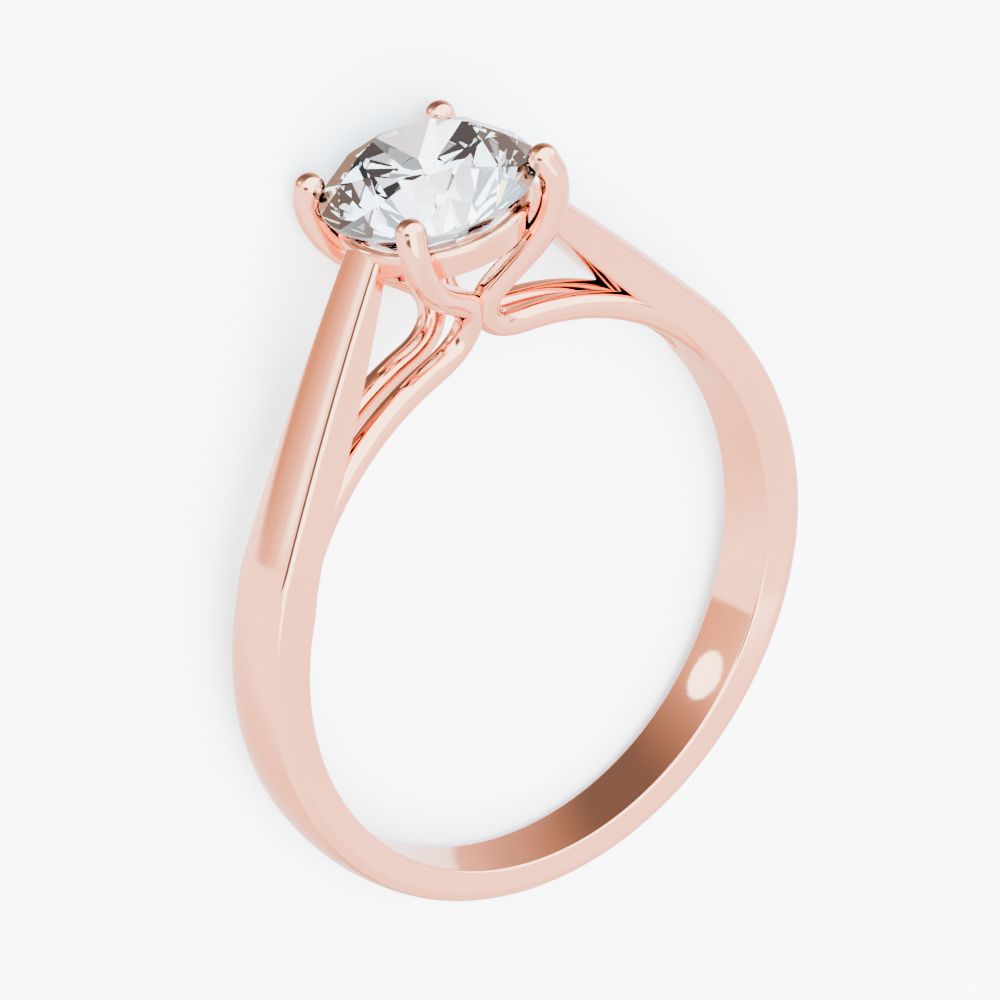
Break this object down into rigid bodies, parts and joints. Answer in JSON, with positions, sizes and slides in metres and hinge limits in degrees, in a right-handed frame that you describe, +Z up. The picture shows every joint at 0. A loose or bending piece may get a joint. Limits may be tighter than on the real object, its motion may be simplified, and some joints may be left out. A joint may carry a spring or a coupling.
{
  "type": "solitaire engagement ring",
  "caption": "Solitaire engagement ring: a polished rose gold band with sloping shoulders, a wire prong head and a round brilliant diamond.",
  "frame": {"origin": "middle of the ring's outline on the floor, with the ring lying on its side", "axes": "+Z up; +Y from the foot of the band towards the stone; X across the band. The finger hole's axis is 4.8 degrees from Z, because the ring lies on the stone's girdle and the foot of the band."},
  "size_m": [0.0204, 0.0252, 0.0063],
  "materials": {
    "rose_gold": "mirror-polished rose gold",
    "diamond": "clear faceted gemstone"
  },
  "bodies": {
    "root": {"ring_mount": "rose_gold", "diamond": "diamond"}
  },
  "joints": []
}
